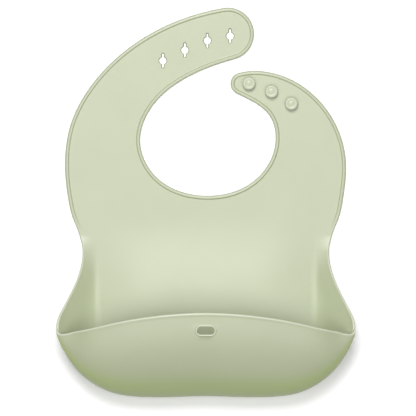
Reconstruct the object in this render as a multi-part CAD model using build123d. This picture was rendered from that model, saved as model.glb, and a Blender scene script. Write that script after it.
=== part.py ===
"""A moulded silicone baby bib lying on its back: chest panel, neck straps, studs and catch pocket.

Millimetres. X runs across the bib, +Y towards the straps, +Z up from the surface it lies on.
The origin is under the centre of the bib, on that surface.
The bib is one silicone moulding. It is split here where the silicone flexes, and each flexing
line is a narrow band of its own between two zones that stay nearly rigid.
"""

import math
import os

import numpy as np
from build123d import *

# ---------------------------------------------------------------- driving dimensions
SHEET = 1.8                 # thickness of the silicone sheet
MID = SHEET / 2             # height of the middle of the flat sheet
BEAD_WIDTH = 2.7            # raised border along every edge of the flat sheet
BEAD_RISE = 0.9             # how far that border stands above the sheet

WAIST_Y = -22.0             # line across the bib where the chest folds
SHOULDER_Y = 48.0           # line across both shoulders where the straps bend
STRAP_BEND = (-50.2, 97.3)  # point on the hole strap where its end bends
STRAP_BEND_RUN = 35.9       # direction of the strap at that point, degrees from +X
WAIST_BAND = 7.0            # widths of the flexing bands
STRAP_BAND = 3.6
CLEARANCE = 0.3             # between a band and the zone that swings about it
FRONT_GAP = 1.5             # between the front wall and the rim it grows out of, along the wall

FRONT_SWEEP = 76.0          # degrees of the quarter ellipse that the front wall follows
LIP_FLARE = 2.0             # how far the lip turns forward beyond that ellipse
FLOOR_END = 2               # stations on the rim lists below: where the floor meets the side walls,
ROUND_UNTIL = 3.5           # where the walls stop being round,
FLAT_FROM = 6.5             # where they are flat,
FRONT_END = 5.5             # where the front wall ends,
CORNER = 6                  # the pocket's corner
WAIST = 10                  # and the waist
CREASE_BEND = 0.2           # how much of a flat wall's width its bend at the crease takes
BAND_SHARE = 0.034          # how much of the floor's wall flexes, next to the rim

# How many stations and shares each curved sheet is fitted through.
FLOOR_GRID = (9, 11)
BAND_GRID = (9, 4)
SIDE_GRID = (33, 17)
FRONT_GRID = (47, 13)

STUD_SHAFT_R = 2.5
STUD_SHAFT = 2.2            # length of the shaft above the strap
STUD_HEAD_R = 4.9
STUD_HEAD = 2.7
STUD_ROUND = 0.7
STUD_DIMPLE_R = 2.3         # ring pressed into the head
STUD_DIMPLE_WIDTH = 0.4
STUD_DIMPLE_DEPTH = 0.2
STUDS = [(33.2, 91.5), (50.5, 85.3), (65.8, 76.0)]

HOLE_R = 2.65               # round middle of a keyhole
HOLE_SLIT = 1.1             # width of the slits above and below it
HOLE_LENGTH = 10.8          # from the end of one slit to the end of the other
HOLE_BEVEL = 0.7            # the holes widen this much all round at the front face
HOLES = [(-33.0, 109.1), (-16.1, 117.2), (1.2, 124.5), (18.7, 128.1)]

SLOT_LENGTH = 13.2          # slot in the front wall that takes a stud when the bib is rolled up
SLOT_HEIGHT = 6.0
SLOT_Y = -97.6
COLLAR_WIDTH = 1.0          # raised collar round that slot
COLLAR_RISE = 0.7
COLLAR_GAP = 0.02           # keeps it clear of the wall it stands on, which curves

REACH = 400.0               # side of the slabs that cut the sheet, wider than the bib
STUD_SIDE = (16.0, 105.0)   # above the shoulders the stud strap lies right of and below this point

# Outline of the flat sheet: hole strap tip, stud strap tip, and the curves between them.
HOLE_TIP = (17.0, 129.8)
HOLE_TIP_R = 20.1
STUD_TIP = (27.4, 91.5)
STUD_TIP_R = 8.4
LEFT_EDGE = [(-97.1, -25.5), (-102.2, -12.0), (-105.7, 2.0), (-108.3, 28.0), (-104.0, 60.1), (-89.5, 88.2),
             (-63.5, 115.6), (-24.7, 138.6)]
RIGHT_EDGE = [(60.6, 96.8), (77.4, 87.4), (97.3, 65.1), (107.3, 36.1), (105.4, 2.0), (102.2, -12.0),
              (97.1, -25.5)]
NECKLINE = [(-10.2, 98.4), (-40.9, 74.3), (-50.4, 46.3), (-36.6, 18.4), (-0.8, 5.3), (33.4, 14.1),
            (52.8, 41.8), (49.2, 66.5)]

# Stations run from the middle of the pocket floor, up round the corner, to the waist, on one side.
# RIM is the widest line of the pocket up to its corner, and then the free edge of the side wall.
RIM = [(0, -147.6, 17), (27, -148.4, 17), (53, -148, 17.5), (74.8, -143.8, 19.5), (94, -131.8, 23),
       (107, -115, 27.5), (114, -96, 31), (108.4, -79.3, 22), (98.5, -57.8, 8.5),
       (94.6, -38.4, 1.9), (97.1, -25.5, MID)]
# CREASE is where the flat back starts to curve up to the same station of RIM.
CREASE = [(0, -129.5), (27, -129.7), (53, -130), (70, -125.5), (79, -115), (82.5, -102),
          (83, -87), (83, -68), (83, -51), (83, -36), (83, -25.5)]
# LIP is the free edge of the front wall: station, then the point.
LIP = [(0, (0, -84.2, 54)), (1, (25.5, -85.3, 53.3)), (2, (50, -88.2, 50.5)), (3, (71.5, -92.3, 46)),
       (4, (90, -96.7, 40.5)), (5, (102.4, -99.2, 35)), (5.5, (109.2, -100.5, 32.7)),
       (5.8, (112.8, -99.2, 31.4)), (6, (114, -96, 31))]


# ---------------------------------------------------------------- curves and sheets
def smooth_through(knots, points):
    """A function of a station, giving the natural cubic spline through the points."""
    knots, points = np.array(knots, float), np.array(points, float)
    step = np.diff(knots)
    rows = len(knots)
    system, right = np.eye(rows), np.zeros_like(points)
    for i in range(1, rows - 1):
        system[i, i - 1:i + 2] = step[i - 1], 2 * (step[i - 1] + step[i]), step[i]
        right[i] = 6 * ((points[i + 1] - points[i]) / step[i] - (points[i] - points[i - 1]) / step[i - 1])
    bend = np.linalg.solve(system, right)

    def at(station):
        i = int(np.clip(np.searchsorted(knots, station) - 1, 0, rows - 2))
        h, a, b = step[i], knots[i + 1] - station, station - knots[i]
        return ((bend[i] * a**3 + bend[i + 1] * b**3) / (6 * h)
                + (points[i] / h - bend[i] * h / 6) * a
                + (points[i + 1] / h - bend[i + 1] * h / 6) * b)

    return at


def both_sides(knots, points):
    """The spline through the points and their mirror images, so that it is smooth in the middle."""
    mirrored = [(-x, *rest) for x, *rest in points[:0:-1]]
    return smooth_through([-k for k in knots[:0:-1]] + list(knots), mirrored + list(points))


rim_at = both_sides(range(len(RIM)), RIM)
crease_at = both_sides(range(len(CREASE)), CREASE)
lip_at = both_sides([k for k, _ in LIP], [p for _, p in LIP])


def back_shell(station, share):
    """The middle of the sheet from the crease (share 0) to the rim (share 1).

    Round the floor it is a quarter of an ellipse. The side walls are flat, above a bend at the crease.
    """
    rim, crease = rim_at(station), crease_at(station)
    step = np.clip((abs(station) - ROUND_UNTIL) / (FLAT_FROM - ROUND_UNTIL), 0, 1)
    flat_part = step * step * (3 - 2 * step)
    bent = (math.hypot(share, CREASE_BEND) - CREASE_BEND) / (math.hypot(1, CREASE_BEND) - CREASE_BEND)
    quarter = math.pi / 2 * share
    out = (1 - flat_part) * math.sin(quarter) + flat_part * share
    up = (1 - flat_part) * (1 - math.cos(quarter)) + flat_part * bent
    plan = crease + (rim[:2] - crease) * out
    return np.array([*plan, MID + (rim[2] - MID) * up])


def front_shell(station, share):
    """The middle of the sheet from the rim (share 0) to the lip (share 1)."""
    rim, lip = rim_at(station), lip_at(station)
    sweep = math.radians(FRONT_SWEEP)
    out = (1 - math.cos(sweep * share)) / (1 - math.cos(sweep))
    up = math.sin(sweep * share) / math.sin(sweep)
    flare = LIP_FLARE * math.cos(math.pi / 2 * station / CORNER) * (share**6 - share**4)
    plan = rim[:2] + (lip[:2] - rim[:2]) * out
    return np.array([*plan, rim[2] + (lip[2] - rim[2]) * up + flare])


def grid(shell, stations, shares):
    """Points on both faces of a sheet: two grids, half a thickness either side of the shell."""
    step = 1e-4
    faces = []
    for side in (-1, 1):
        rows = []
        for s in stations:
            row = []
            for t in shares:
                inward = step if t < 0.5 else -step
                along = (shell(s + step, t) - shell(s - step, t)) / (2 * step)
                across = (shell(s, t + inward) - shell(s, t)) / inward
                normal = np.cross(along, across)
                row.append(shell(s, t) + side * MID * normal / np.linalg.norm(normal))
            rows.append(row)
        faces.append(rows)
    return faces


def side_edge(face, points):
    """The edge of the face that runs along these grid points."""
    middle = Vector(*points[len(points) // 2])
    ends = Vector(*points[0]), Vector(*points[-1])

    def miss(edge):
        a, b = edge @ 0, edge @ 1
        return (edge.distance_to(Vertex(middle.X, middle.Y, middle.Z))
                + min((a - ends[0]).length + (b - ends[1]).length, (a - ends[1]).length + (b - ends[0]).length))

    return min(face.edges(), key=miss)


def curved_sheet(shell, stations, shares, counts):
    """A solid of one sheet's thickness between two stations and two shares of a shell."""
    low, high = grid(shell, np.linspace(*stations, counts[0]), np.linspace(*shares, counts[1]))
    skins = [Face.make_surface_from_array_of_points([[tuple(p) for p in row] for row in rows], min_deg=3)
             for rows in (low, high)]
    walls = []
    for pick in (lambda g: g[0], lambda g: g[-1], lambda g: [r[0] for r in g], lambda g: [r[-1] for r in g]):
        edges = side_edge(skins[0], pick(low)), side_edge(skins[1], pick(high))
        walls.append(Face.make_surface_from_curves(*edges))
    solid = Solid(Shell([*skins, *walls]))
    return solid if solid.volume > 0 else Solid(solid.wrapped.Reversed())


# ---------------------------------------------------------------- the flat sheet
def on_circle(centre, radius, degrees):
    angle = math.radians(degrees)
    return (centre[0] + radius * math.cos(angle), centre[1] + radius * math.sin(angle))


def inset_curve(curve, inset, pieces=24):
    """The curve moved to its right by inset. The outline runs clockwise, so that is inwards."""
    points = []
    for i in range(pieces + 1):
        point, tangent = curve @ (i / pieces), curve % (i / pieces)
        points.append((point.X + inset * tangent.Y, point.Y - inset * tangent.X))
    return Spline(*points, tangents=[curve % 0, curve % 1])


def clockwise(degrees):
    """Direction of travel at this angle of a circle."""
    return (math.sin(math.radians(degrees)), -math.cos(math.radians(degrees)))


def flat_outline(inset=0.0):
    """Chest panel and both straps as one face, cut straight across at the waist."""
    down, up = (-0.25, -1), (-0.25, 1)
    top, low = (on_circle(HOLE_TIP, HOLE_TIP_R, a) for a in (100, -75))
    under, over = (on_circle(STUD_TIP, STUD_TIP_R, a) for a in (243, 105))
    edges = [
        Spline(*LEFT_EDGE, top, tangents=[up, clockwise(100)]),
        ThreePointArc(top, on_circle(HOLE_TIP, HOLE_TIP_R, 0), low),
        Spline(low, *NECKLINE, under, tangents=[clockwise(-75), clockwise(243)]),
        ThreePointArc(under, on_circle(STUD_TIP, STUD_TIP_R, 180), over),
        Spline(over, *RIGHT_EDGE, tangents=[clockwise(105), down]),
    ]
    edges = [inset_curve(edge, inset) for edge in edges]
    edges.append(Line(edges[-1] @ 1, edges[0] @ 0))
    return make_face(edges)


def half_plane(origin, direction):
    """A slab that keeps what lies beyond a line: origin on the line, direction away from it, in degrees."""
    plane = Plane(origin=(*origin, 0), x_dir=Vector(1, 0, 0).rotate(Axis.Z, direction), z_dir=(0, 0, 1))
    return plane * Pos(REACH / 2, 0, 0) * Box(REACH, 2 * REACH, REACH)


def flat_sheet():
    """The flat moulding with its raised border, before it is split into zones."""
    hollow = extrude(flat_outline(BEAD_WIDTH), 2 * BEAD_RISE)
    hollow += Pos(0, WAIST_Y, BEAD_RISE) * Box(REACH, WAIST_BAND + 2 * BEAD_WIDTH, 2 * BEAD_RISE)
    return extrude(flat_outline(), SHEET + BEAD_RISE) - Pos(0, 0, SHEET) * hollow


def keyhole():
    """Cutter for one hole in the strap: a round middle with a slit above and below, bevelled in front."""
    slit = SlotOverall(HOLE_LENGTH, HOLE_SLIT, rotation=90)
    grown = SlotOverall(HOLE_LENGTH + 4 * HOLE_BEVEL, HOLE_SLIT + 4 * HOLE_BEVEL, rotation=90)
    straight = Cylinder(HOLE_R, 4 * SHEET) + extrude(slit, 2 * SHEET, both=True)
    bevel = loft([Pos(0, 0, SHEET - HOLE_BEVEL) * slit, Pos(0, 0, SHEET + HOLE_BEVEL) * grown])
    bevel += Pos(0, 0, SHEET) * Cone(HOLE_R, HOLE_R + 2 * HOLE_BEVEL, 2 * HOLE_BEVEL)
    return straight + bevel


def flat_zones():
    """The flat sheet, split at its three flexing lines."""
    sheet = flat_sheet()
    run = math.radians(STRAP_BEND_RUN)

    def shifted(distance):
        return (STRAP_BEND[0] + distance * math.cos(run), STRAP_BEND[1] + distance * math.sin(run))

    half = STRAP_BAND / 2
    above_waist = half_plane((0, WAIST_Y + WAIST_BAND / 2), 90)
    over_shoulder = half_plane((0, SHOULDER_Y + half), 90)
    under_shoulder = half_plane((0, SHOULDER_Y - half), -90)
    over_band = half_plane((0, SHOULDER_Y + half - CLEARANCE), -90)
    shoulder_band = sheet & over_band & half_plane((0, SHOULDER_Y - half), 90)
    stud_side = half_plane(STUD_SIDE, 0) & half_plane(STUD_SIDE, -90)
    hole_strap = (sheet & over_shoulder) - stud_side
    end = hole_strap & half_plane(shifted(half), STRAP_BEND_RUN)
    for x, y in HOLES:
        end -= Pos(x, y, 0) * keyhole()
    before = half_plane(shifted(-half), STRAP_BEND_RUN + 180)
    up_to_end = half_plane(shifted(half - CLEARANCE), STRAP_BEND_RUN + 180)
    return {
        "chest_panel": sheet & above_waist & under_shoulder,
        "waist_flex_band": waist_band(),
        "hole_strap_shoulder_band": shoulder_band & half_plane((0, 0), 180),
        "stud_strap_shoulder_band": shoulder_band & half_plane((0, 0), 0),
        "hole_strap_root": hole_strap & before,
        "hole_strap_flex_band": (hole_strap & up_to_end) - before,
        "hole_strap_end": end,
        "stud_strap": sheet & over_shoulder & stud_side,
    }


def waist_band():
    """The strip of sheet that bends between chest panel and pocket."""
    return extrude(flat_outline(), SHEET) & half_plane((0, WAIST_Y + WAIST_BAND / 2 - CLEARANCE), -90)


# ---------------------------------------------------------------- the pocket
def back_panel():
    """The flat back of the pocket, inside the crease."""
    crease = Spline(*[tuple(crease_at(s)) for s in np.linspace(0, WAIST, 4 * WAIST + 1)])
    middle = (0, (crease @ 1).Y)
    half = extrude(make_face([crease, Line(crease @ 1, middle), Line(middle, crease @ 0)]), SHEET)
    return half + mirror(half, Plane.YZ)


def front_wall():
    """The curved front of the pocket, with the slot cut through it."""
    def lifted(station, share):
        start = FRONT_GAP / np.linalg.norm(lip_at(station) - rim_at(station))
        return front_shell(station, start + (1 - start) * share)

    wall = curved_sheet(lifted, (-FRONT_END, FRONT_END), (0, 1), FRONT_GRID)
    return wall - slot_cutter(SLOT_LENGTH, SLOT_HEIGHT)


def slot_frame():
    """Plane of the front wall where the slot is, facing out of the pocket."""
    share = slot_share()
    point = front_shell(0, share)
    along = front_shell(0, share + 0.01) - front_shell(0, share - 0.01)
    normal = Vector(1, 0, 0).cross(Vector(*along)).normalized()
    return Plane(origin=tuple(point), x_dir=(1, 0, 0), z_dir=normal)


def slot_share():
    """How far up the front wall the slot lies."""
    return min(np.linspace(0.5, 1, 501), key=lambda t: abs(front_shell(0, t)[1] - SLOT_Y))


def slot_cutter(length, height, depth=4 * SHEET):
    return slot_frame() * extrude(SlotOverall(length, height), depth, both=True)


def slot_collar():
    """The raised collar round the slot, standing on the front wall."""
    ring = slot_cutter(SLOT_LENGTH + 2 * COLLAR_WIDTH, SLOT_HEIGHT + 2 * COLLAR_WIDTH)
    ring -= slot_cutter(SLOT_LENGTH, SLOT_HEIGHT, 5 * SHEET)
    middle = MID + COLLAR_GAP + COLLAR_RISE / 2
    return ring & slot_frame() * Pos(0, 0, middle) * Box(2 * SLOT_LENGTH, 2 * SLOT_LENGTH, COLLAR_RISE)


def stud():
    """One snap stud: shaft and rounded head with a ring pressed into its face."""
    base = (Align.CENTER, Align.CENTER, Align.MIN)
    under, face = SHEET + STUD_SHAFT, SHEET + STUD_SHAFT + STUD_HEAD
    shaft = Pos(0, 0, SHEET) * Cylinder(STUD_SHAFT_R, STUD_SHAFT, align=base)
    head = Pos(0, 0, under) * Cylinder(STUD_HEAD_R, STUD_HEAD, align=base)
    head = fillet(head.edges().filter_by(GeomType.CIRCLE), STUD_ROUND)
    ring = Cylinder(STUD_DIMPLE_R, 2 * STUD_DIMPLE_DEPTH)
    ring -= Cylinder(STUD_DIMPLE_R - STUD_DIMPLE_WIDTH, 2 * STUD_DIMPLE_DEPTH)
    return shaft + head - Pos(0, 0, face) * ring


def pocket_zones():
    """Back, floor, side walls and front wall of the pocket, with the band between floor and front."""
    hinge = 1 - BAND_SHARE
    floor = (-FLOOR_END, FLOOR_END)
    gusset = curved_sheet(back_shell, (FLOOR_END, WAIST), (0, 1), SIDE_GRID)
    return {
        "lower_back_panel": back_panel(),
        "pocket_floor": curved_sheet(back_shell, floor, (0, hinge), FLOOR_GRID),
        "pocket_flex_band": curved_sheet(back_shell, floor, (hinge, 1), BAND_GRID),
        "right_gusset": gusset,
        "left_gusset": mirror(gusset, Plane.YZ),
        "pocket_front_wall": front_wall(),
        "slot_collar": slot_collar(),
    }


def main():
    os.makedirs("parts", exist_ok=True)
    nodes = {**flat_zones(), **pocket_zones()}
    for number, (x, y) in enumerate(STUDS, 1):
        nodes[f"stud_{number}"] = Pos(x, y, 0) * stud()
    for name, shape in nodes.items():
        shape = shape if len(shape.solids()) != 1 else shape.solids()[0]
        export_step(shape, f"parts/{name}.step")


main()
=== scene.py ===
"""Looks of the silicone bib: one continuous skin over the CAD zones, cut just before each joint's bend.

Geometry is worked out in millimetres, in the CAD model's frame, and scaled to metres when a mesh is made.
The bib lies on its back: +Z is out of its front face, and +Y is towards the straps.
"""
import math

import bmesh
import bpy
import numpy as np
from mathutils import Matrix, Vector
from mathutils.geometry import delaunay_2d_cdt
from mathutils.kdtree import KDTree


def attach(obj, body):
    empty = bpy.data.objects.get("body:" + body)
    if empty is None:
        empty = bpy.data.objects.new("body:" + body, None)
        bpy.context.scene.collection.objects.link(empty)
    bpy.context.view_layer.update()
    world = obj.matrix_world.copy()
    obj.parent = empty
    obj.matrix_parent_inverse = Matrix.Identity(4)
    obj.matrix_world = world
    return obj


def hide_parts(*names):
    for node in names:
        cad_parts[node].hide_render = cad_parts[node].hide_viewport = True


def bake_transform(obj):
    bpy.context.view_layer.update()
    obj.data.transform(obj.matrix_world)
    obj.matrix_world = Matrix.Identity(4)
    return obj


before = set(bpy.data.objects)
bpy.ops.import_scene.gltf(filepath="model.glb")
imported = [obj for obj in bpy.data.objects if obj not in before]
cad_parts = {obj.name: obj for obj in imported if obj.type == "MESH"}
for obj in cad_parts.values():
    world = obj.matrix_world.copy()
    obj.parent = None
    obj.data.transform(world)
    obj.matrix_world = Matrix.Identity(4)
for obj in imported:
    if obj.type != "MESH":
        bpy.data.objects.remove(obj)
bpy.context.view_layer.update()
METRE = 0.001

# ---------------------------------------------------------------- sizes
SHEET = 1.8                 # thickness of the silicone
MID = SHEET / 2
EDGE_ROUND = 0.55           # rounding of the sheet's free edges

BEAD_WIDTH = 2.7            # raised border of chest and straps
BEAD_RISE = 0.9
BEAD_WALL = 0.6             # width of the slope from the border down to the sheet
BEAD_ROUND = 1.3            # the border's outer top corner is rounded this far in
BEAD_DROP = 1.5             # and this far down
BEAD_FADE = (-26.0, -2.0)   # the border rises from nothing to its full size between these y

ROLL_RISE = 0.22            # the pocket's free edges are this much thicker on each face
ROLL_FLAT = 0.6             # up to this distance from the edge, and less and less up to ROLL_WIDTH
ROLL_WIDTH = 3.4
ROLL_ROUND = 0.9            # they are rounded this far in, and almost down to the middle of the sheet
ROLL_GAP = 0.02             # what stays of each face's height at the very edge
ROLL_FADE = (-36.0, -60.0)  # all this grows from nothing to its full size between these y
EDGE_HIGHLIGHT_REACH = (0.3, 2.0)     # the edge has a painted highlight up to the first distance, and none from the second

EDGE_ROWS = [0, 0.08, 0.25, 0.5, 0.85, 1.3, 2.0, 2.4, 2.6, 2.8, 3.0, 3.5]  # distances of rows of points
EDGE_REACH = 4.0            # the sheet has its plain thickness further than this from its free edge
NARROW = 12.0               # the rows are squeezed where a wall is narrower than this
OUTLINE_STEP = 1.7          # spacing of points along the free edge of chest and straps
CURVE_SAMPLES = 600         # fine samples that the spacing is measured along: of each spline
HOLE_TIP_SAMPLES = 120      # and of each strap's round end
STUD_TIP_SAMPLES = 80
LEVEL_REACH = 14.0          # rows turn level over this length of edge next to the waist
PANEL_STEP = 3.4            # spacing of points inside the flat area
PANEL_GAP = 0.6             # they keep this share of it from the area's outline
MERGE = 0.012               # points nearer to each other than this become one

LIFT = 5.2                  # the back lifts off the table by this much below the waist
LIFT_START, LIFT_TOP, LIFT_END = -8.0, -80.0, -160.0    # y where it begins, is highest and ends
LIFT_SIDES = (35.0, 83.0)   # it falls to nothing between these distances from the middle line
LIFT_HEIGHTS = (3.0, 8.0)   # the walls take part in it less and less between these heights

WAIST_SEAM = -37.0          # where the skin is divided: all in stretches that stay rigid
WAIST_SEAM_HEIGHT = 10.0    # the pocket's front stands above this height, and isn't divided there
SHOULDER_SEAM = 36.0
STRAP_BEND = (-50.2, 97.3)
STRAP_RUN = math.radians(35.9)
STRAP_SEAM = -11.0          # along the strap from STRAP_BEND
STUD_SIDE = (12.0, 104.0)   # above the shoulders the stud strap lies right of and below this point

STUDS = [(33.2, 91.5), (50.5, 85.3), (65.8, 76.0)]
STUD_FOOT = SHEET - 0.25    # heights: the bottom, sunk into the strap
STUD_NECK = 3.1             # the upper end of the flare from the strap to the shaft
STUD_UNDER = 4.0            # the underside of the head
STUD_TOP = 6.7
STUD_SHAFT_R = 2.8
STUD_HEAD_R = 4.9
STUD_FLARE = 0.9            # roundings: from the strap to the shaft
STUD_NECK_ROUND = 0.3       # from the shaft to the head
STUD_LOW_ROUND = 0.5        # the head's lower edge
STUD_TOP_ROUND = 0.95       # the head's upper edge
STUD_RING = 2.3             # ring pressed into the head
STUD_RING_HALF = 0.2
STUD_RING_DEPTH = 0.1
STUD_HIGHLIGHT = (0.1, 0.6)      # painted highlight on the head, and how much more of it at its rim
STUD_HIGHLIGHT_RIM = (3.7, 4.8)  # which begins at the first radius, and is full from the second

HOLES = [(-33.0, 109.1), (-16.1, 117.2), (1.2, 124.5), (18.7, 128.1)]
HOLE_R = 2.65               # a keyhole at the back face
SLIT_HALF = 0.55
SLIT_END = 4.85
HOLE_TAPER = 0.7            # it is this much wider all round at the front face
HOLE_LEAST = 0.2            # the sheet is this thick at the keyhole's edge
HOLE_ROWS = [0, 0.2, 0.45, 0.62, 0.78, 0.95, 1.3]
HOLE_AREA = 6.2             # a free edge within this distance of its centre is the keyhole's

SLOT_Y = -97.6
SLOT_LENGTH = 13.2
SLOT_HEIGHT = 6.0
SLOT_ROUND = 0.25
COLLAR_WIDTH = 1.5
COLLAR_RISE = 0.8
SLOT_ROWS = [0, 0.07, 0.2, 0.42, 0.75, 1.08, 1.3, 1.43, 1.5, 1.8]
SLOT_REACH = 2.0            # the collar's shape ends within this distance of the slot
SLOT_AREA = 9.0             # a free edge within this distance of its centre is the slot's
WINDOW_STATION = 0.65       # the front wall is filled in round the slot up to this station on both sides
WINDOW_SHARES = (0.72, 0.955)   # and between these shares of its height
SLOT_SHARES = (0.8, 0.9)    # two shares near the slot, between which lengths there are measured

HOLE_TIP = ((17.0, 129.8), 20.1)    # round ends of the straps: centre and radius
HOLE_TIP_START, HOLE_TIP_END = 100, -75     # and the angles at which their arcs start and end, clockwise
STUD_TIP = ((27.4, 91.5), 8.4)
STUD_TIP_START, STUD_TIP_END = 243, 105
WAIST_LEAN = -0.25          # sideways part of the outline's direction where it leaves the pocket
LEFT_EDGE = [(-97.1, -25.5), (-102.2, -12.0), (-105.7, 2.0), (-108.3, 28.0), (-104.0, 60.1), (-89.5, 88.2),
             (-63.5, 115.6), (-24.7, 138.6)]
RIGHT_EDGE = [(60.6, 96.8), (77.4, 87.4), (97.3, 65.1), (107.3, 36.1), (105.4, 2.0), (102.2, -12.0),
              (97.1, -25.5)]
NECKLINE = [(-10.2, 98.4), (-40.9, 74.3), (-50.4, 46.3), (-36.6, 18.4), (-0.8, 5.3), (33.4, 14.1),
            (52.8, 41.8), (49.2, 66.5)]

# Pocket: stations run from the middle of its floor (0), round the corner (6), to the waist (10).
CORNER, WAIST = 6, 10
STATION_RUNS = [(0, 5, 0.1), (5, 5.6, 0.05), (5.6, 6.3, 0.025), (6.3, 7, 0.05), (7, WAIST + 0.01, 0.1)]
BACK_ROWS, FRONT_ROWS = 12, 22      # rows of points across each wall, besides EDGE_ROWS
FRONT_SWEEP = math.radians(76)
ROUND_UNTIL, FLAT_FROM = 3.5, 6.5   # round walls up to the first station, flat ones from the second
CREASE_BEND = 0.4                   # how much of a flat wall's width its bend at the crease takes
LIP_FLARE = 2.0                     # the front wall is drawn in below its lip, which leans out again
RIM = [(0, -147.6, 17), (27, -148.4, 17), (53, -148, 17.5), (74.8, -143.8, 19.5), (94, -131.8, 23),
       (107, -115, 27.5), (114, -96, 31), (108.4, -79.3, 22), (98.5, -57.8, 8),
       (94.6, -38.4, 3), (97.1, -25.5, MID)]
CREASE = [(0, -129.5), (27, -129.7), (53, -130), (70, -125.5), (79, -115), (82.5, -102),
          (83, -87), (83, -68), (83, -51), (83, -36), (83, -25.5)]
LIP = [(0, (0, -84.2, 54)), (1, (25.5, -85.3, 53.3)), (2, (50, -88.2, 50.5)), (3, (71.5, -92.3, 46)),
       (4, (90, -96.7, 40.5)), (5, (102.4, -99.2, 35)), (5.5, (109.2, -100.5, 32.7)),
       (5.8, (112.8, -99.2, 31.4)), (6, (114, -96, 31))]


# ---------------------------------------------------------------- light, colour and view
SAGE_LIGHT = (0.418, 0.457, 0.309)  # the silicone's two slightly different shades
SAGE_DARK = (0.406, 0.443, 0.300)
SAGE_PAINTED_LIGHT = (0.56, 0.59, 0.46)      # painted highlight on thin free edges of the pocket, the slot's collar and the studs' heads; painted light inside
SAGE_DEEP_PAINTED_SHADE_AND_GLOW = (0.41, 0.49, 0.22)      # painted shade outside the pocket at its foot, and part of the painted light inside it
PAINTED_SHADE_REACH = (0.15, 0.46)           # which ends between these shares of the way from rim to lip
PAINTED_GLOW = 0.5                          # share of both painted on the inner face, as painted light for what comes through the walls;
GLOW_HEIGHTS = (-48.0, -90.0)       # it grows to its full share between these y
GLOW_SIDES = (82.0, 90.0)           # on the side walls, which begin between these x
GLOW_DEPTHS = (-95.0, -108.0)       # and inside the pocket, which begins between these y
ROUGHNESS = 0.35
ROUGHNESS_CHANGE = 0.04

# Lengths from here on are in metres.
KEY_PLACE, KEY_SIZE, KEY_POWER = (-0.12, 0.845, 1.81), (0.85, 0.85), 32.0
FILL_PLACE, FILL_SIZE, FILL_POWER = (0, -0.37, 1.98), (2.4, 1.2), 29.8
TABLE_SIZE = 12
TABLE_HEIGHT, TABLE_SHADE, TABLE_GLOW = -0.0003, 0.92, 0.15
CARD_HEIGHT, CARD_SHADE = -0.0006, 0.8
CAMERA_PLACE = (0.0017, -0.0042, 6.0)
CAMERA_REACH = 40
CAMERA_SENSOR = 36          # millimetres
FRAME_WIDTH = 0.3200        # width of table that the picture takes in


# ---------------------------------------------------------------- curves
def spline(knots, points, tangents=None):
    """Cubic spline through the points as a function of the knot value, natural or with end tangents."""
    knots, points = np.array(knots, float), np.array(points, float)
    step, rows = np.diff(knots), len(knots)
    slope = np.diff(points, axis=0) / step[:, None]
    system, right = np.eye(rows), np.zeros_like(points)
    for i in range(1, rows - 1):
        system[i, i - 1:i + 2] = step[i - 1], 2 * (step[i - 1] + step[i]), step[i]
        right[i] = 6 * (slope[i] - slope[i - 1])
    if tangents is not None:
        first, last = (np.array(t) / np.linalg.norm(t) for t in tangents)
        system[0, :2] = 2 * step[0], step[0]
        right[0] = 6 * (slope[0] - first)
        system[-1, -2:] = step[-1], 2 * step[-1]
        right[-1] = 6 * (last - slope[-1])
    bend = np.linalg.solve(system, right)

    def at(value):
        i = int(np.clip(np.searchsorted(knots, value) - 1, 0, rows - 2))
        h, a, b = step[i], knots[i + 1] - value, value - knots[i]
        return ((bend[i] * a**3 + bend[i + 1] * b**3) / (6 * h)
                + (points[i] / h - bend[i] * h / 6) * a + (points[i + 1] / h - bend[i + 1] * h / 6) * b)

    return at


def both_sides(knots, points):
    """The natural spline through the points and their mirror images."""
    mirrored = [(-x, *rest) for x, *rest in points[:0:-1]]
    return spline([-k for k in knots[:0:-1]] + list(knots), mirrored + list(points))


rim_at = both_sides(range(len(RIM)), RIM)
crease_at = both_sides(range(len(CREASE)), CREASE)
lip_at = both_sides([k for k, _ in LIP], [p for _, p in LIP])


def smooth(low, high, value):
    """0 at low, 1 at high, and a smooth step between. Low may be the larger of the two."""
    t = np.clip((value - low) / (high - low), 0, 1)
    return t * t * (3 - 2 * t)


def spread(points, step):
    """Points at even distances along a finely sampled line."""
    points = np.array(points)
    length = np.concatenate([[0], np.cumsum(np.linalg.norm(np.diff(points, axis=0), axis=1))])
    count = max(2, int(round(length[-1] / step)) + 1)
    marks = np.linspace(0, length[-1], count)
    return np.stack([np.interp(marks, length, points[:, i]) for i in range(points.shape[1])], axis=1)


def on_circle(circle, degrees):
    """The point of a circle (centre, radius) at an angle from +X."""
    (x, y), radius = circle
    angle = math.radians(degrees)
    return (x + radius * math.cos(angle), y + radius * math.sin(angle))


def clockwise(degrees):
    """Direction of travel round a circle, clockwise, at an angle from +X."""
    return (math.sin(math.radians(degrees)), -math.cos(math.radians(degrees)))


def through(points, tangents):
    """Fine samples of the spline through these points, with knots at their distances."""
    points = np.array(points)
    knots = np.concatenate([[0], np.cumsum(np.linalg.norm(np.diff(points, axis=0), axis=1))])
    curve = spline(knots, points, tangents)
    return [curve(k) for k in np.linspace(0, knots[-1], CURVE_SAMPLES)]


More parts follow.
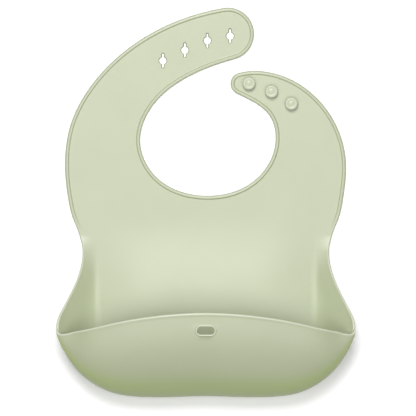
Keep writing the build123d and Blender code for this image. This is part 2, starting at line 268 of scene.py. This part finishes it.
def outline(step):
    """The free edge of chest and straps, clockwise from the left of the waist to its right."""
    hole_start, hole_end = on_circle(HOLE_TIP, HOLE_TIP_START), on_circle(HOLE_TIP, HOLE_TIP_END)
    stud_start, stud_end = on_circle(STUD_TIP, STUD_TIP_START), on_circle(STUD_TIP, STUD_TIP_END)
    line = []
    line += through([*LEFT_EDGE, hole_start], [(WAIST_LEAN, 1), clockwise(HOLE_TIP_START)])
    line += [on_circle(HOLE_TIP, a) for a in np.linspace(HOLE_TIP_START, HOLE_TIP_END, HOLE_TIP_SAMPLES)]
    line += through([hole_end, *NECKLINE, stud_start], [clockwise(HOLE_TIP_END), clockwise(STUD_TIP_START)])
    line += [on_circle(STUD_TIP, a) for a in np.linspace(STUD_TIP_START, STUD_TIP_END, STUD_TIP_SAMPLES)]
    line += through([stud_end, *RIGHT_EDGE], [clockwise(STUD_TIP_END), (WAIST_LEAN, -1)])
    return spread(line, step)


# ---------------------------------------------------------------- the pocket's two shells
def back_shell(station, share):
    """The middle of the sheet from the crease (share 0) to the rim (share 1)."""
    rim, crease = rim_at(station), crease_at(station)
    flatness = smooth(ROUND_UNTIL, FLAT_FROM, abs(station))
    bent_up = (math.hypot(share, CREASE_BEND) - CREASE_BEND) / (math.hypot(1, CREASE_BEND) - CREASE_BEND)
    turned = math.pi / 2 * share
    out = (1 - flatness) * math.sin(turned) + flatness * share
    up = (1 - flatness) * (1 - math.cos(turned)) + flatness * bent_up
    return np.array([*(crease + (rim[:2] - crease) * out), MID + (rim[2] - MID) * up])


def front_shell(station, share):
    """The middle of the sheet from the rim (share 0) to the lip (share 1)."""
    rim, lip = rim_at(station), lip_at(station)
    out = (1 - math.cos(FRONT_SWEEP * share)) / (1 - math.cos(FRONT_SWEEP))
    up = math.sin(FRONT_SWEEP * share) / math.sin(FRONT_SWEEP)
    flare = LIP_FLARE * math.cos(math.pi / 2 * station / CORNER) * (share**6 - share**4)
    return np.array([*(rim[:2] + (lip[:2] - rim[:2]) * out), rim[2] + (lip[2] - rim[2]) * up + flare])


def shell_shares(shell, station, inner_rows):
    """Shares across a shell at one station: even steps, then EDGE_ROWS next to its far edge."""
    even = np.linspace(0, 1, 90)
    fine = np.array([shell(station, t) for t in even])
    length = np.concatenate([[0], np.cumsum(np.linalg.norm(np.diff(fine, axis=0), axis=1))])
    edge = np.array(EDGE_ROWS[::-1]) * min(1.0, length[-1] / NARROW)
    marks = np.concatenate([np.linspace(0, length[-1] - edge[0], inner_rows + 1)[:-1], length[-1] - edge])
    return np.interp(marks, length, even) if length[-1] > 0 else np.linspace(0, 1, len(marks))


def shell_points(shell, station, inner_rows):
    """Points across a shell at one station."""
    return np.array([shell(station, t) for t in shell_shares(shell, station, inner_rows)])


def stations(last):
    """Station values from -last to last, closer together round the pocket's corners."""
    half = np.concatenate([np.arange(*run) for run in STATION_RUNS])
    half = half[half <= last + 1e-6]
    return np.concatenate([-half[:0:-1], half])


# ---------------------------------------------------------------- filling flat regions
def tree_of(points):
    """Search tree over a list of points in space."""
    tree = KDTree(len(points))
    for i, point in enumerate(points):
        tree.insert(point, i)
    tree.balance()
    return tree


def inside(loop, points):
    """Which of the points lie inside a closed loop."""
    x, y = points[:, :1], points[:, 1:]
    ax, ay = loop[:, 0], loop[:, 1]
    bx, by = np.roll(ax, -1), np.roll(ay, -1)
    crosses = (ay > y) != (by > y)
    at = ax + (y - ay) * (bx - ax) / np.where(by == ay, 1e-9, by - ay)
    return np.sum(crosses & (x < at), axis=1) % 2 == 1


def between(loop, holes, points):
    """Which of the points lie inside a closed loop and outside all the holes."""
    return inside(loop, points) & ~np.any([inside(hole, points) for hole in holes], axis=0)


def fill(loop, holes, step):
    """Points about a step apart, and triangles, that cover the region inside loop and outside the holes."""
    loops = [loop, *holes]
    fixed = np.concatenate(loops)
    low, high = loop.min(axis=0), loop.max(axis=0)
    rows = np.arange(low[1], high[1], step * math.sqrt(0.75))
    columns = np.arange(low[0], high[0], step)
    cells = np.array([(x + (i % 2) * step / 2, y) for i, y in enumerate(rows) for x in columns])
    tree = tree_of([(*point, 0) for point in fixed])
    cells = [c for c in cells[between(loop, holes, cells)] if tree.find((*c, 0))[2] > PANEL_GAP * step]
    points = np.concatenate([fixed, np.array(cells).reshape(-1, 2)])
    edges, start = [], 0
    for ring in loops:
        edges += [(start + i, start + (i + 1) % len(ring)) for i in range(len(ring))]
        start += len(ring)

    found = delaunay_2d_cdt([Vector(p) for p in points], edges, [], 0, 1e-5)
    points, triangles = np.array(found[0]), np.array(found[2])
    return points, triangles[between(loop, holes, points[triangles].mean(axis=1))]


def keyhole(centre, grow, count=7):
    """Outline of a keyhole, moved out by grow: a circle with a slit above and below."""
    radius, half = HOLE_R + grow, SLIT_HALF + grow
    corner = math.asin(half / radius)
    angles = np.linspace(corner, math.pi - corner, 2 * count)
    right = [(radius * math.sin(a), radius * math.cos(a)) for a in angles]
    end = [(half * math.cos(a), -SLIT_END - half * math.sin(a)) for a in np.linspace(0, math.pi, count)]
    half_turn = right + end
    return np.array(centre) + np.array(half_turn + [(-x, -y) for x, y in half_turn])


def obround(length, height, grow, count=12):
    """Outline of a slot with round ends, moved out by grow."""
    radius, straight = height / 2 + grow, (length - height) / 2
    angles = np.linspace(-math.pi / 2, math.pi / 2, count)
    right = [(straight + radius * math.cos(a), radius * math.sin(a)) for a in angles]
    top = [(x, radius) for x in np.linspace(straight, -straight, 5)[1:-1]]
    half_turn = right + top
    return np.array(half_turn + [(-x, -y) for x, y in half_turn])


# ---------------------------------------------------------------- the middle of the sheet, as one surface
def add_grid(surface, columns):
    """Quads between neighbouring columns of points."""
    made = [[surface.verts.new(p) for p in column] for column in columns]
    for a, b in zip(made, made[1:]):
        for i in range(len(a) - 1):
            surface.faces.new((a[i], a[i + 1], b[i + 1], b[i]))


def add_rings(surface, rings):
    """Quads between closed rings of points."""
    add_grid(surface, [[*ring, ring[0]] for ring in rings])


def add_triangles(surface, points, triangles):
    """Triangles between points, given by their numbers."""
    made = [surface.verts.new(p) for p in points]
    for triangle in triangles:
        surface.faces.new([made[i] for i in triangle])


def flat(points):
    """Points of the plane, put at the height of the middle of the sheet."""
    return [(x, y, MID) for x, y in points]


def add_flat_part(surface):
    """Chest, straps and the flat back of the pocket."""
    edge = outline(OUTLINE_STEP)
    tangent = np.gradient(edge, axis=0)
    inward = np.stack([tangent[:, 1], -tangent[:, 0]], axis=1) / np.linalg.norm(tangent, axis=1)[:, None]

    # Next to the waist the rows turn level, so that they end where the side walls' own rows begin.
    numbers = np.arange(len(edge))
    from_end = np.minimum(numbers, numbers[::-1]) * OUTLINE_STEP
    level = np.stack([-np.sign(edge[:, 0]), np.zeros(len(edge))], axis=1)
    lean = smooth(0, LEVEL_REACH, from_end)[:, None]
    inward = level * (1 - lean) + inward * lean
    inward /= np.linalg.norm(inward, axis=1)[:, None]
    rings = [edge + distance * inward for distance in EDGE_ROWS]
    add_grid(surface, [flat(ring) for ring in rings])

    holes = []
    for centre in HOLES:
        loops = [keyhole(centre, grow) for grow in HOLE_ROWS]
        add_rings(surface, [flat(loop) for loop in loops])
        holes.append(loops[-1])

    side = shell_points(back_shell, WAIST, BACK_ROWS)[:BACK_ROWS + 1, :2]
    crease = np.array([crease_at(s) for s in stations(WAIST)])
    mirrored = side * (-1, 1)
    loop = np.concatenate([rings[-1], side[-2:0:-1], crease[::-1], mirrored[1:-1]])
    points, triangles = fill(loop, holes, PANEL_STEP)
    add_triangles(surface, flat(points), triangles)


def add_front_wall(surface):
    """The front of the pocket, with the roll-up slot in it. Returns the slot's place."""
    values = stations(CORNER)
    shares = np.array([shell_shares(front_shell, s, FRONT_ROWS) for s in values])
    points = np.array([[front_shell(s, t) for t in row] for s, row in zip(values, shares)])
    columns = np.where(np.abs(values) < WINDOW_STATION)[0]
    lowest, highest = WINDOW_SHARES
    rows = np.where((shares[columns[0]] > lowest) & (shares[columns[0]] < highest))[0]
    left, right, low, high = columns[0], columns[-1], rows[0], rows[-1]
    made = [[surface.verts.new(p) for p in column] for column in points]
    for i in range(len(values) - 1):
        for k in range(shares.shape[1] - 1):
            if left <= i < right and low <= k < high:
                continue
            surface.faces.new((made[i][k], made[i][k + 1], made[i + 1][k + 1], made[i + 1][k]))

    # The window is filled as if it were flat, with stations and shares turned into millimetres.
    under, over = SLOT_SHARES
    middle = (under + over) / 2
    wide = np.linalg.norm(front_shell(1, middle) - front_shell(0, middle))
    tall = np.linalg.norm(front_shell(0, over) - front_shell(0, under)) / (over - under)
    ring = [(i, low) for i in range(left, right)]
    ring += [(right, k) for k in range(low, high)]
    ring += [(i, high) for i in range(right, left, -1)]
    ring += [(left, k) for k in range(high, low, -1)]
    window = np.array([(values[i], shares[i][k]) for i, k in ring]) * (wide, tall)
    slot_share = min(np.linspace(0.7, 1, 601), key=lambda t: abs(front_shell(0, t)[1] - SLOT_Y))
    loops = [obround(SLOT_LENGTH, SLOT_HEIGHT, grow) + (0, slot_share * tall) for grow in SLOT_ROWS]

    def place(at):
        return [front_shell(x / wide, y / tall) for x, y in at]

    add_rings(surface, [place(loop) for loop in loops])
    filled, triangles = fill(window, [loops[-1]], PANEL_STEP)
    add_triangles(surface, place(filled), triangles)
    return front_shell(0, slot_share)


def lift(x, y):
    """Rise of the back below the waist."""
    start, end = LIFT_SIDES
    across = 1 - np.clip((abs(x) - start) / (end - start), 0, 1)**2
    return LIFT * across * smooth(LIFT_START, LIFT_TOP, y) * smooth(LIFT_END, LIFT_TOP, y)


def middle_surface():
    """The whole bib as one surface without thickness, front face up. Returns the slot's place too."""
    surface = bmesh.new()
    add_flat_part(surface)
    add_grid(surface, [shell_points(back_shell, s, BACK_ROWS) for s in stations(WAIST)])
    slot = add_front_wall(surface)
    bmesh.ops.remove_doubles(surface, verts=surface.verts, dist=MERGE)
    bmesh.ops.recalc_face_normals(surface, faces=surface.faces)
    surface.faces.ensure_lookup_table()

    # A face of the flat back shows which way round the whole surface is.
    level = min(surface.faces, key=lambda f: (f.calc_center_median() - Vector((0, -5, MID))).length)
    if level.normal.z < 0:
        bmesh.ops.reverse_faces(surface, faces=surface.faces)

    for vert in surface.verts:
        vert.co.z += lift(vert.co.x, vert.co.y) * (1 - smooth(*LIFT_HEIGHTS, vert.co.z))
    cut(surface, (0, WAIST_SEAM, 0), (0, 1, 0), lambda c: c.z < WAIST_SEAM_HEIGHT)
    cut(surface, (0, SHOULDER_SEAM, 0), (0, 1, 0), lambda c: c.y > 0)
    run = (math.cos(STRAP_RUN), math.sin(STRAP_RUN), 0)
    place = (STRAP_BEND[0] + STRAP_SEAM * run[0], STRAP_BEND[1] + STRAP_SEAM * run[1], 0)
    cut(surface, place, run, lambda c: c.y > SHOULDER_SEAM and c.x < 0)
    return surface, slot


def cut(surface, place, normal, chosen):
    """Divides the faces that a plane crosses, among the chosen ones."""
    faces = [f for f in surface.faces if chosen(f.calc_center_median())]
    edges = dict.fromkeys(e for f in faces for e in f.edges)
    verts = dict.fromkeys(v for f in faces for v in f.verts)
    parts = [*verts, *edges, *faces]
    bmesh.ops.bisect_plane(surface, geom=parts, dist=1e-4, plane_co=place, plane_no=normal)


def zone(centre):
    """Name of the piece that a face belongs to."""
    if centre.y < WAIST_SEAM:
        return "catch_pocket"
    if centre.y < SHOULDER_SEAM:
        return "chest"
    if centre.x > STUD_SIDE[0] and centre.y < STUD_SIDE[1]:
        return "stud_strap_skin"
    x, y = centre.x - STRAP_BEND[0], centre.y - STRAP_BEND[1]
    along = x * math.cos(STRAP_RUN) + y * math.sin(STRAP_RUN)
    return "hole_strap_tip_skin" if along > STRAP_SEAM else "hole_strap_skin"


# ---------------------------------------------------------------- thickness, painted highlight and painted shade
def rounded(distance, full, radius, drop):
    """Height near an edge that is rounded by radius inwards and drop downwards."""
    short = np.clip(1 - distance / radius, 0, 1)
    return full - drop * (1 - math.sqrt(1 - short**2))


# Each of the next three gives the heights above and below the middle of the sheet, and its painted
# highlight, at a distance from an edge.
def free_edge(distance, co):
    """The outer edge: a raised border on chest and straps, and a rounded roll on the pocket with a painted
    highlight.
    """
    border = smooth(*BEAD_FADE, co.y)
    roll = smooth(*ROLL_FADE, co.y)
    outside = 1 - smooth(BEAD_WIDTH - BEAD_WALL / 2, BEAD_WIDTH + BEAD_WALL / 2, distance)
    full = MID + ROLL_RISE * roll * (1 - smooth(ROLL_FLAT, ROLL_WIDTH, distance))
    radius = EDGE_ROUND + (ROLL_ROUND - EDGE_ROUND) * roll
    drop = EDGE_ROUND + (MID + ROLL_RISE - ROLL_GAP - EDGE_ROUND) * roll
    top_radius = radius + (BEAD_ROUND - EDGE_ROUND) * border
    top_drop = drop + (BEAD_DROP - EDGE_ROUND) * border
    above = rounded(distance, full + BEAD_RISE * border * outside, top_radius, top_drop)
    # The third value is a painted highlight along the pocket's thin edge.
    return above, rounded(distance, full, radius, drop), roll * (1 - smooth(*EDGE_HIGHLIGHT_REACH, distance))


def keyhole_edge(distance, co):
    """The hole's wall slopes: its lower end is a thin edge at the back face."""
    left = np.clip(1 - distance / HOLE_TAPER, 0, 1)
    return MID - (SHEET - HOLE_LEAST) * left, MID, 0


def slot_edge(distance, co):
    """The collar round the slot stands out on the sheet's outer face, and its crest has a painted
    highlight.
    """
    across = 2 * distance / COLLAR_WIDTH - 1
    crest = max(0.0, 1 - across**2)
    # The third value is the painted highlight on the collar's crest.
    return rounded(distance, MID, SLOT_ROUND, SLOT_ROUND), MID + COLLAR_RISE * math.sqrt(crest), crest


def edge_profiles(surface, slot):
    """Heights above and below each point of the middle surface, and its painted highlight there."""
    free = {v for e in surface.edges if e.is_boundary for v in e.verts}
    at_slot = {v for v in free if (v.co - Vector(slot)).length < SLOT_AREA}
    at_hole = {v for v in free if any((v.co.xy - Vector(c)).length < HOLE_AREA for c in HOLES)}
    kinds = [(free - at_slot - at_hole, free_edge, EDGE_REACH), (at_hole, keyhole_edge, HOLE_ROWS[-1]),
             (at_slot, slot_edge, SLOT_REACH)]
    found = dict.fromkeys(surface.verts, (MID, MID, 0))
    for edge_verts, profile, reach in kinds:
        tree = tree_of([v.co for v in edge_verts])
        for vert in surface.verts:
            distance = tree.find(vert.co)[2]
            if distance < reach:
                found[vert] = profile(distance, vert.co)
    return found


def painted_shade_depths(surface):
    """How much painted shade the outer face has: 1 at the foot of the pocket, less towards its lip."""
    values = stations(CORNER)
    rim = tree_of([rim_at(s) for s in values])
    lengths = [max(1, np.linalg.norm(lip_at(s) - rim_at(s))) for s in values]
    painted_shade_shares = {}
    for vert in surface.verts:
        _, i, distance = rim.find(vert.co)
        painted_shade_shares[vert] = 1 - smooth(*PAINTED_SHADE_REACH, distance / lengths[i])
    return painted_shade_shares


def painted_inner_glow(co):
    """Where painted light stands for light through the walls on the inner face: on the sides and in the
    pocket.
    """
    return smooth(*GLOW_HEIGHTS, co.y) * max(smooth(*GLOW_SIDES, abs(co.x)), smooth(*GLOW_DEPTHS, co.y))


def paint(mesh, name, values):
    """Gives each point of a mesh a value that the material reads by its name."""
    mesh.attributes.new(name, "FLOAT", "POINT").data.foreach_set("value", values)


# ---------------------------------------------------------------- pieces
def silicone_piece(name, mesh):
    """A mesh as an object of the scene, made of silicone."""
    made = bpy.data.objects.new(name, mesh)
    bpy.context.scene.collection.objects.link(made)
    made.data.materials.append(silicone)
    return made


def closed_polygons(faces, number):
    """Polygons of the front, the back and the edge of a skin, and the mesh edges that are sharp."""
    chosen, count = set(faces), len(number)
    polygons, sharp = [], set()
    for face in faces:
        ring = [number[v] for v in face.verts]
        polygons.append(ring)
        polygons.append([i + count for i in reversed(ring)])
        for loop in face.loops:
            beyond = [f for f in loop.edge.link_faces if f != face]
            if not chosen.isdisjoint(beyond):
                continue
            a, b = number[loop.vert], number[loop.link_loop_next.vert]
            polygons.append([b, a, a + count, b + count])
            if beyond:
                sharp |= {frozenset((a, b)), frozenset((a + count, b + count))}
    return polygons, sharp


def skin(name, faces, profiles, painted_shade_shares):
    """A closed skin over some faces of the middle surface."""
    verts = sorted({v for f in faces for v in f.verts}, key=lambda v: v.index)
    above = [v.co + v.normal * profiles[v][0] for v in verts]
    below = [v.co - v.normal * profiles[v][1] for v in verts]
    polygons, sharp = closed_polygons(faces, {v: i for i, v in enumerate(verts)})
    mesh = bpy.data.meshes.new(name)
    mesh.from_pydata([p * METRE for p in above + below], [], polygons)
    # Painted light on the inner face, painted highlight on the pocket's thin edges, painted shade at its
    # foot outside.
    glow = [PAINTED_GLOW * painted_inner_glow(v.co) for v in verts]
    pale = [profiles[v][2] for v in verts]
    paint(mesh, "painted_highlight_and_glow", [max(pair) for pair in zip(glow, pale)] + pale)
    paint(mesh, "painted_deep_shade_and_glow", glow + [painted_shade_shares[v] for v in verts])
    mesh.validate()
    mesh.shade_smooth()
    for edge in mesh.edges:
        if frozenset(edge.vertices) in sharp:
            edge.use_edge_sharp = True
    return silicone_piece(name, mesh)


def lathe(name, profile, centre, highlight_at, turns=64):
    """A closed round piece from (radius, height) points, from its axis at the bottom to that at the top."""
    body = bmesh.new()
    angles = [2 * math.pi * i / turns for i in range(turns)]
    rings, pale = [], []
    for radius, height in profile:
        steps = angles if radius > 0 else [0]
        ring = [(centre[0] + radius * math.cos(a), centre[1] + radius * math.sin(a), height) for a in steps]
        rings.append([body.verts.new(point) for point in ring])
        pale += [highlight_at(radius, height)] * len(ring)
    for low, high in zip(rings, rings[1:]):
        for i in range(turns):
            k = (i + 1) % turns
            corners = [low[i % len(low)], low[k % len(low)], high[k % len(high)], high[i % len(high)]]
            body.faces.new(list(dict.fromkeys(corners)))
    bmesh.ops.recalc_face_normals(body, faces=body.faces)
    body.transform(Matrix.Scale(METRE, 4))
    mesh = bpy.data.meshes.new(name)
    body.to_mesh(mesh)
    body.free()
    mesh.shade_smooth()
    # Painted highlight on the stud's head.
    paint(mesh, "painted_highlight_and_glow", pale)
    return silicone_piece(name, mesh)


def arc(centre, radius, start, end, count=6):
    """Points of a profile along an arc, angles in degrees."""
    angles = np.radians(np.linspace(start, end, count))
    return [(centre[0] + radius * math.cos(a), centre[1] + radius * math.sin(a)) for a in angles]


def head_highlight(radius, height):
    """The painted highlight on a stud: only on its head, and most of all on the head's rim."""
    least, more = STUD_HIGHLIGHT
    return least + more * smooth(*STUD_HIGHLIGHT_RIM, radius) if height >= STUD_UNDER else 0


def stud(number, centre):
    """A snap stud: flared foot, shaft, rounded head with a plain ring pressed into it."""
    foot_r, neck_r = STUD_SHAFT_R + STUD_FLARE, STUD_SHAFT_R + STUD_NECK_ROUND
    low_r, top_r = STUD_HEAD_R - STUD_LOW_ROUND, STUD_HEAD_R - STUD_TOP_ROUND
    profile = [(0, STUD_FOOT), (foot_r, STUD_FOOT)]
    profile += arc((foot_r, STUD_NECK), STUD_FLARE, 270, 180)
    profile += arc((neck_r, STUD_UNDER - STUD_NECK_ROUND), STUD_NECK_ROUND, 180, 90, 4)
    profile += arc((low_r, STUD_UNDER + STUD_LOW_ROUND), STUD_LOW_ROUND, 270, 360)
    profile += arc((top_r, STUD_TOP - STUD_TOP_ROUND), STUD_TOP_ROUND, 0, 90, 8)
    profile += [(STUD_RING + STUD_RING_HALF, STUD_TOP), (STUD_RING, STUD_TOP - STUD_RING_DEPTH),
                (STUD_RING - STUD_RING_HALF, STUD_TOP), (0, STUD_TOP)]
    return lathe(f"stud_{number}_skin", profile, centre, head_highlight)


# ---------------------------------------------------------------- material
def silicone_material():
    """Soft sage silicone: satin, slightly mottled, with the fine grain of the mould.

    Its two painted values, of painted highlight and light and of painted shade and light, are 0 on a piece
    that doesn't have them.
    """
    material = bpy.data.materials.new("sage_silicone")
    material.use_nodes = True
    nodes, links = material.node_tree.nodes, material.node_tree.links
    shader = nodes["Principled BSDF"]
    shader.inputs["IOR"].default_value = 1.5
    shader.inputs["Specular IOR Level"].default_value = 0.6
    shader.inputs["Subsurface Weight"].default_value = 0.12
    shader.inputs["Subsurface Radius"].default_value = (1.0, 1.1, 0.6)
    shader.inputs["Subsurface Scale"].default_value = 0.002
    place = nodes.new("ShaderNodeTexCoord")

    def noise(scale, detail, roughness=0.5):
        """Noise that stays with the object."""
        node = nodes.new("ShaderNodeTexNoise")
        node.inputs["Scale"].default_value = scale
        node.inputs["Detail"].default_value = detail
        node.inputs["Roughness"].default_value = roughness
        links.new(place.outputs["Object"], node.inputs["Vector"])
        return node

    mottle = nodes.new("ShaderNodeValToRGB")
    mottle.color_ramp.elements[0].position, mottle.color_ramp.elements[1].position = 0.3, 0.7
    mottle.color_ramp.elements[0].color = (*SAGE_DARK, 1)
    mottle.color_ramp.elements[1].color = (*SAGE_LIGHT, 1)
    links.new(noise(scale=28, detail=3).outputs["Fac"], mottle.inputs["Fac"])

    def mixed(base, colour, share):
        """The base with one colour over it, by a share that changes over the surface."""
        node = nodes.new("ShaderNodeMix")
        node.data_type = "RGBA"
        node.inputs["B"].default_value = (*colour, 1)
        links.new(share, node.inputs["Factor"])
        links.new(base, node.inputs["A"])
        return node.outputs["Result"]

    def painted(name):
        """A value that the mesh carries at its points."""
        node = nodes.new("ShaderNodeAttribute")
        node.attribute_name = name
        return node.outputs["Fac"]

    # Painted shade and painted light over the mottle, then painted highlight and painted light on top.
    colour = mixed(mottle.outputs["Color"], SAGE_DEEP_PAINTED_SHADE_AND_GLOW, painted("painted_deep_shade_and_glow"))
    links.new(mixed(colour, SAGE_PAINTED_LIGHT, painted("painted_highlight_and_glow")), shader.inputs["Base Color"])

    satin = nodes.new("ShaderNodeMapRange")
    satin.inputs["To Min"].default_value = ROUGHNESS - ROUGHNESS_CHANGE
    satin.inputs["To Max"].default_value = ROUGHNESS + ROUGHNESS_CHANGE
    links.new(noise(scale=60, detail=4).outputs["Fac"], satin.inputs["Value"])
    links.new(satin.outputs["Result"], shader.inputs["Roughness"])

    fine = nodes.new("ShaderNodeBump")
    fine.inputs["Strength"].default_value = 0.12
    fine.inputs["Distance"].default_value = 0.00004
    links.new(noise(scale=2600, detail=3, roughness=0.6).outputs["Fac"], fine.inputs["Height"])
    soft = nodes.new("ShaderNodeBump")
    soft.inputs["Strength"].default_value = 0.25
    soft.inputs["Distance"].default_value = 0.0006
    links.new(noise(scale=22, detail=2).outputs["Fac"], soft.inputs["Height"])
    links.new(soft.outputs["Normal"], fine.inputs["Normal"])
    links.new(fine.outputs["Normal"], shader.inputs["Normal"])
    return material


def floor_plane(name, height, shade, glow):
    """A plain pale plane under the bib, which may give off a little light of its own."""
    material = bpy.data.materials.new(name)
    material.use_nodes = True
    shader = material.node_tree.nodes["Principled BSDF"]
    shader.inputs["Base Color"].default_value = (shade, shade, shade, 1)
    shader.inputs["Roughness"].default_value = 0.9
    shader.inputs["Specular IOR Level"].default_value = 0.1
    shader.inputs["Emission Color"].default_value = (1, 1, 1, 1)
    shader.inputs["Emission Strength"].default_value = glow
    bpy.ops.mesh.primitive_plane_add(size=TABLE_SIZE, location=(0, 0, height))
    plane = bpy.context.object
    plane.name = name
    plane.data.materials.append(material)
    return plane


silicone = silicone_material()
surface, slot_place = middle_surface()
surface.normal_update()
surface.verts.index_update()
profiles = edge_profiles(surface, slot_place)
painted_shade_shares = painted_shade_depths(surface)
zones = {}
for face in surface.faces:
    zones.setdefault(zone(face.calc_center_median()), []).append(face)
skins = {name: skin(name, faces, profiles, painted_shade_shares) for name, faces in zones.items()}
surface.free()
studs = [stud(number, centre) for number, centre in enumerate(STUDS, 1)]

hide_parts("lower_back_panel", "pocket_floor", "pocket_flex_band", "left_gusset",
            "right_gusset", "pocket_front_wall", "slot_collar")
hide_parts("waist_flex_band", "chest_panel")
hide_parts("hole_strap_shoulder_band", "hole_strap_root")
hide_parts("hole_strap_flex_band", "hole_strap_end")
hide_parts("stud_strap_shoulder_band", "stud_strap")
for number, made in enumerate(studs, 1):
    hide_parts(f"stud_{number}")
    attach(made, "stud_strap")

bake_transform(skins["catch_pocket"])
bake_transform(skins["chest"])
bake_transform(skins["hole_strap_skin"])
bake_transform(skins["stud_strap_skin"])
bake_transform(skins["hole_strap_tip_skin"])


# ---------------------------------------------------------------- table, light, camera
def area_light(name, place, size, power):
    """A white lamp that shines on the bib, and isn't seen itself."""
    data = bpy.data.lights.new(name, "AREA")
    data.shape = "RECTANGLE"
    data.size, data.size_y = size
    data.energy = power
    lamp = bpy.data.objects.new(name, data)
    lamp.location = place
    lamp.rotation_euler = (-Vector(place)).to_track_quat("-Z", "Y").to_euler()
    lamp.visible_camera = False
    bpy.context.scene.collection.objects.link(lamp)


# The table is white to the eye, while a greyer card just below it gives the weaker bounced light.
table_top = floor_plane("table_top", TABLE_HEIGHT, TABLE_SHADE, TABLE_GLOW)
table_top.visible_diffuse = False
table_top.visible_glossy = False
table_top.visible_shadow = False
bounce_card = floor_plane("bounce_card", CARD_HEIGHT, CARD_SHADE, 0.0)
bounce_card.visible_camera = False

area_light("key_softbox", KEY_PLACE, KEY_SIZE, KEY_POWER)
area_light("overhead_fill", FILL_PLACE, FILL_SIZE, FILL_POWER)
world = bpy.data.worlds.new("studio")
world.use_nodes = True
world.node_tree.nodes["Background"].inputs["Strength"].default_value = 0.0
bpy.context.scene.world = world
bpy.context.scene.view_settings.view_transform = "Standard"

camera_data = bpy.data.cameras.new("camera")
camera_data.sensor_width = CAMERA_SENSOR
camera_data.lens = CAMERA_SENSOR * CAMERA_PLACE[2] / FRAME_WIDTH
camera_data.clip_end = CAMERA_REACH
camera = bpy.data.objects.new("camera", camera_data)
camera.location = CAMERA_PLACE
bpy.context.scene.collection.objects.link(camera)
bpy.context.scene.camera = camera
